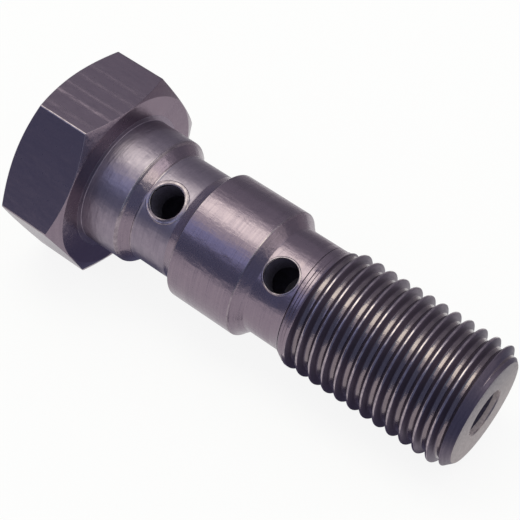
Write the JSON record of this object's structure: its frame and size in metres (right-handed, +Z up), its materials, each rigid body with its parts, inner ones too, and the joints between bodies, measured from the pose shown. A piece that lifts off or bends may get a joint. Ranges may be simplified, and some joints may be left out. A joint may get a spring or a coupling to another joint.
{
  "type": "banjo bolt",
  "caption": "Hollow hexagon bolt with a guide collar, waisted cross-drilled grooves, a middle land and a fine thread, for clamping ring fittings on a fluid line.",
  "frame": {"origin": "on the ground under the middle of the bolt's bounding box, as it lies at rest on a hexagon flat and on the thread", "axes": "+Z up; +X from the head to the tip, along the ground under the bolt's axis; +Y to the left of the bolt seen from its head"},
  "size_m": [0.0374, 0.0162, 0.0144],
  "materials": {
    "turned_steel": "dark turned steel with fine tool marks"
  },
  "bodies": {
    "root": {"banjo_bolt": "turned_steel"}
  },
  "joints": []
}
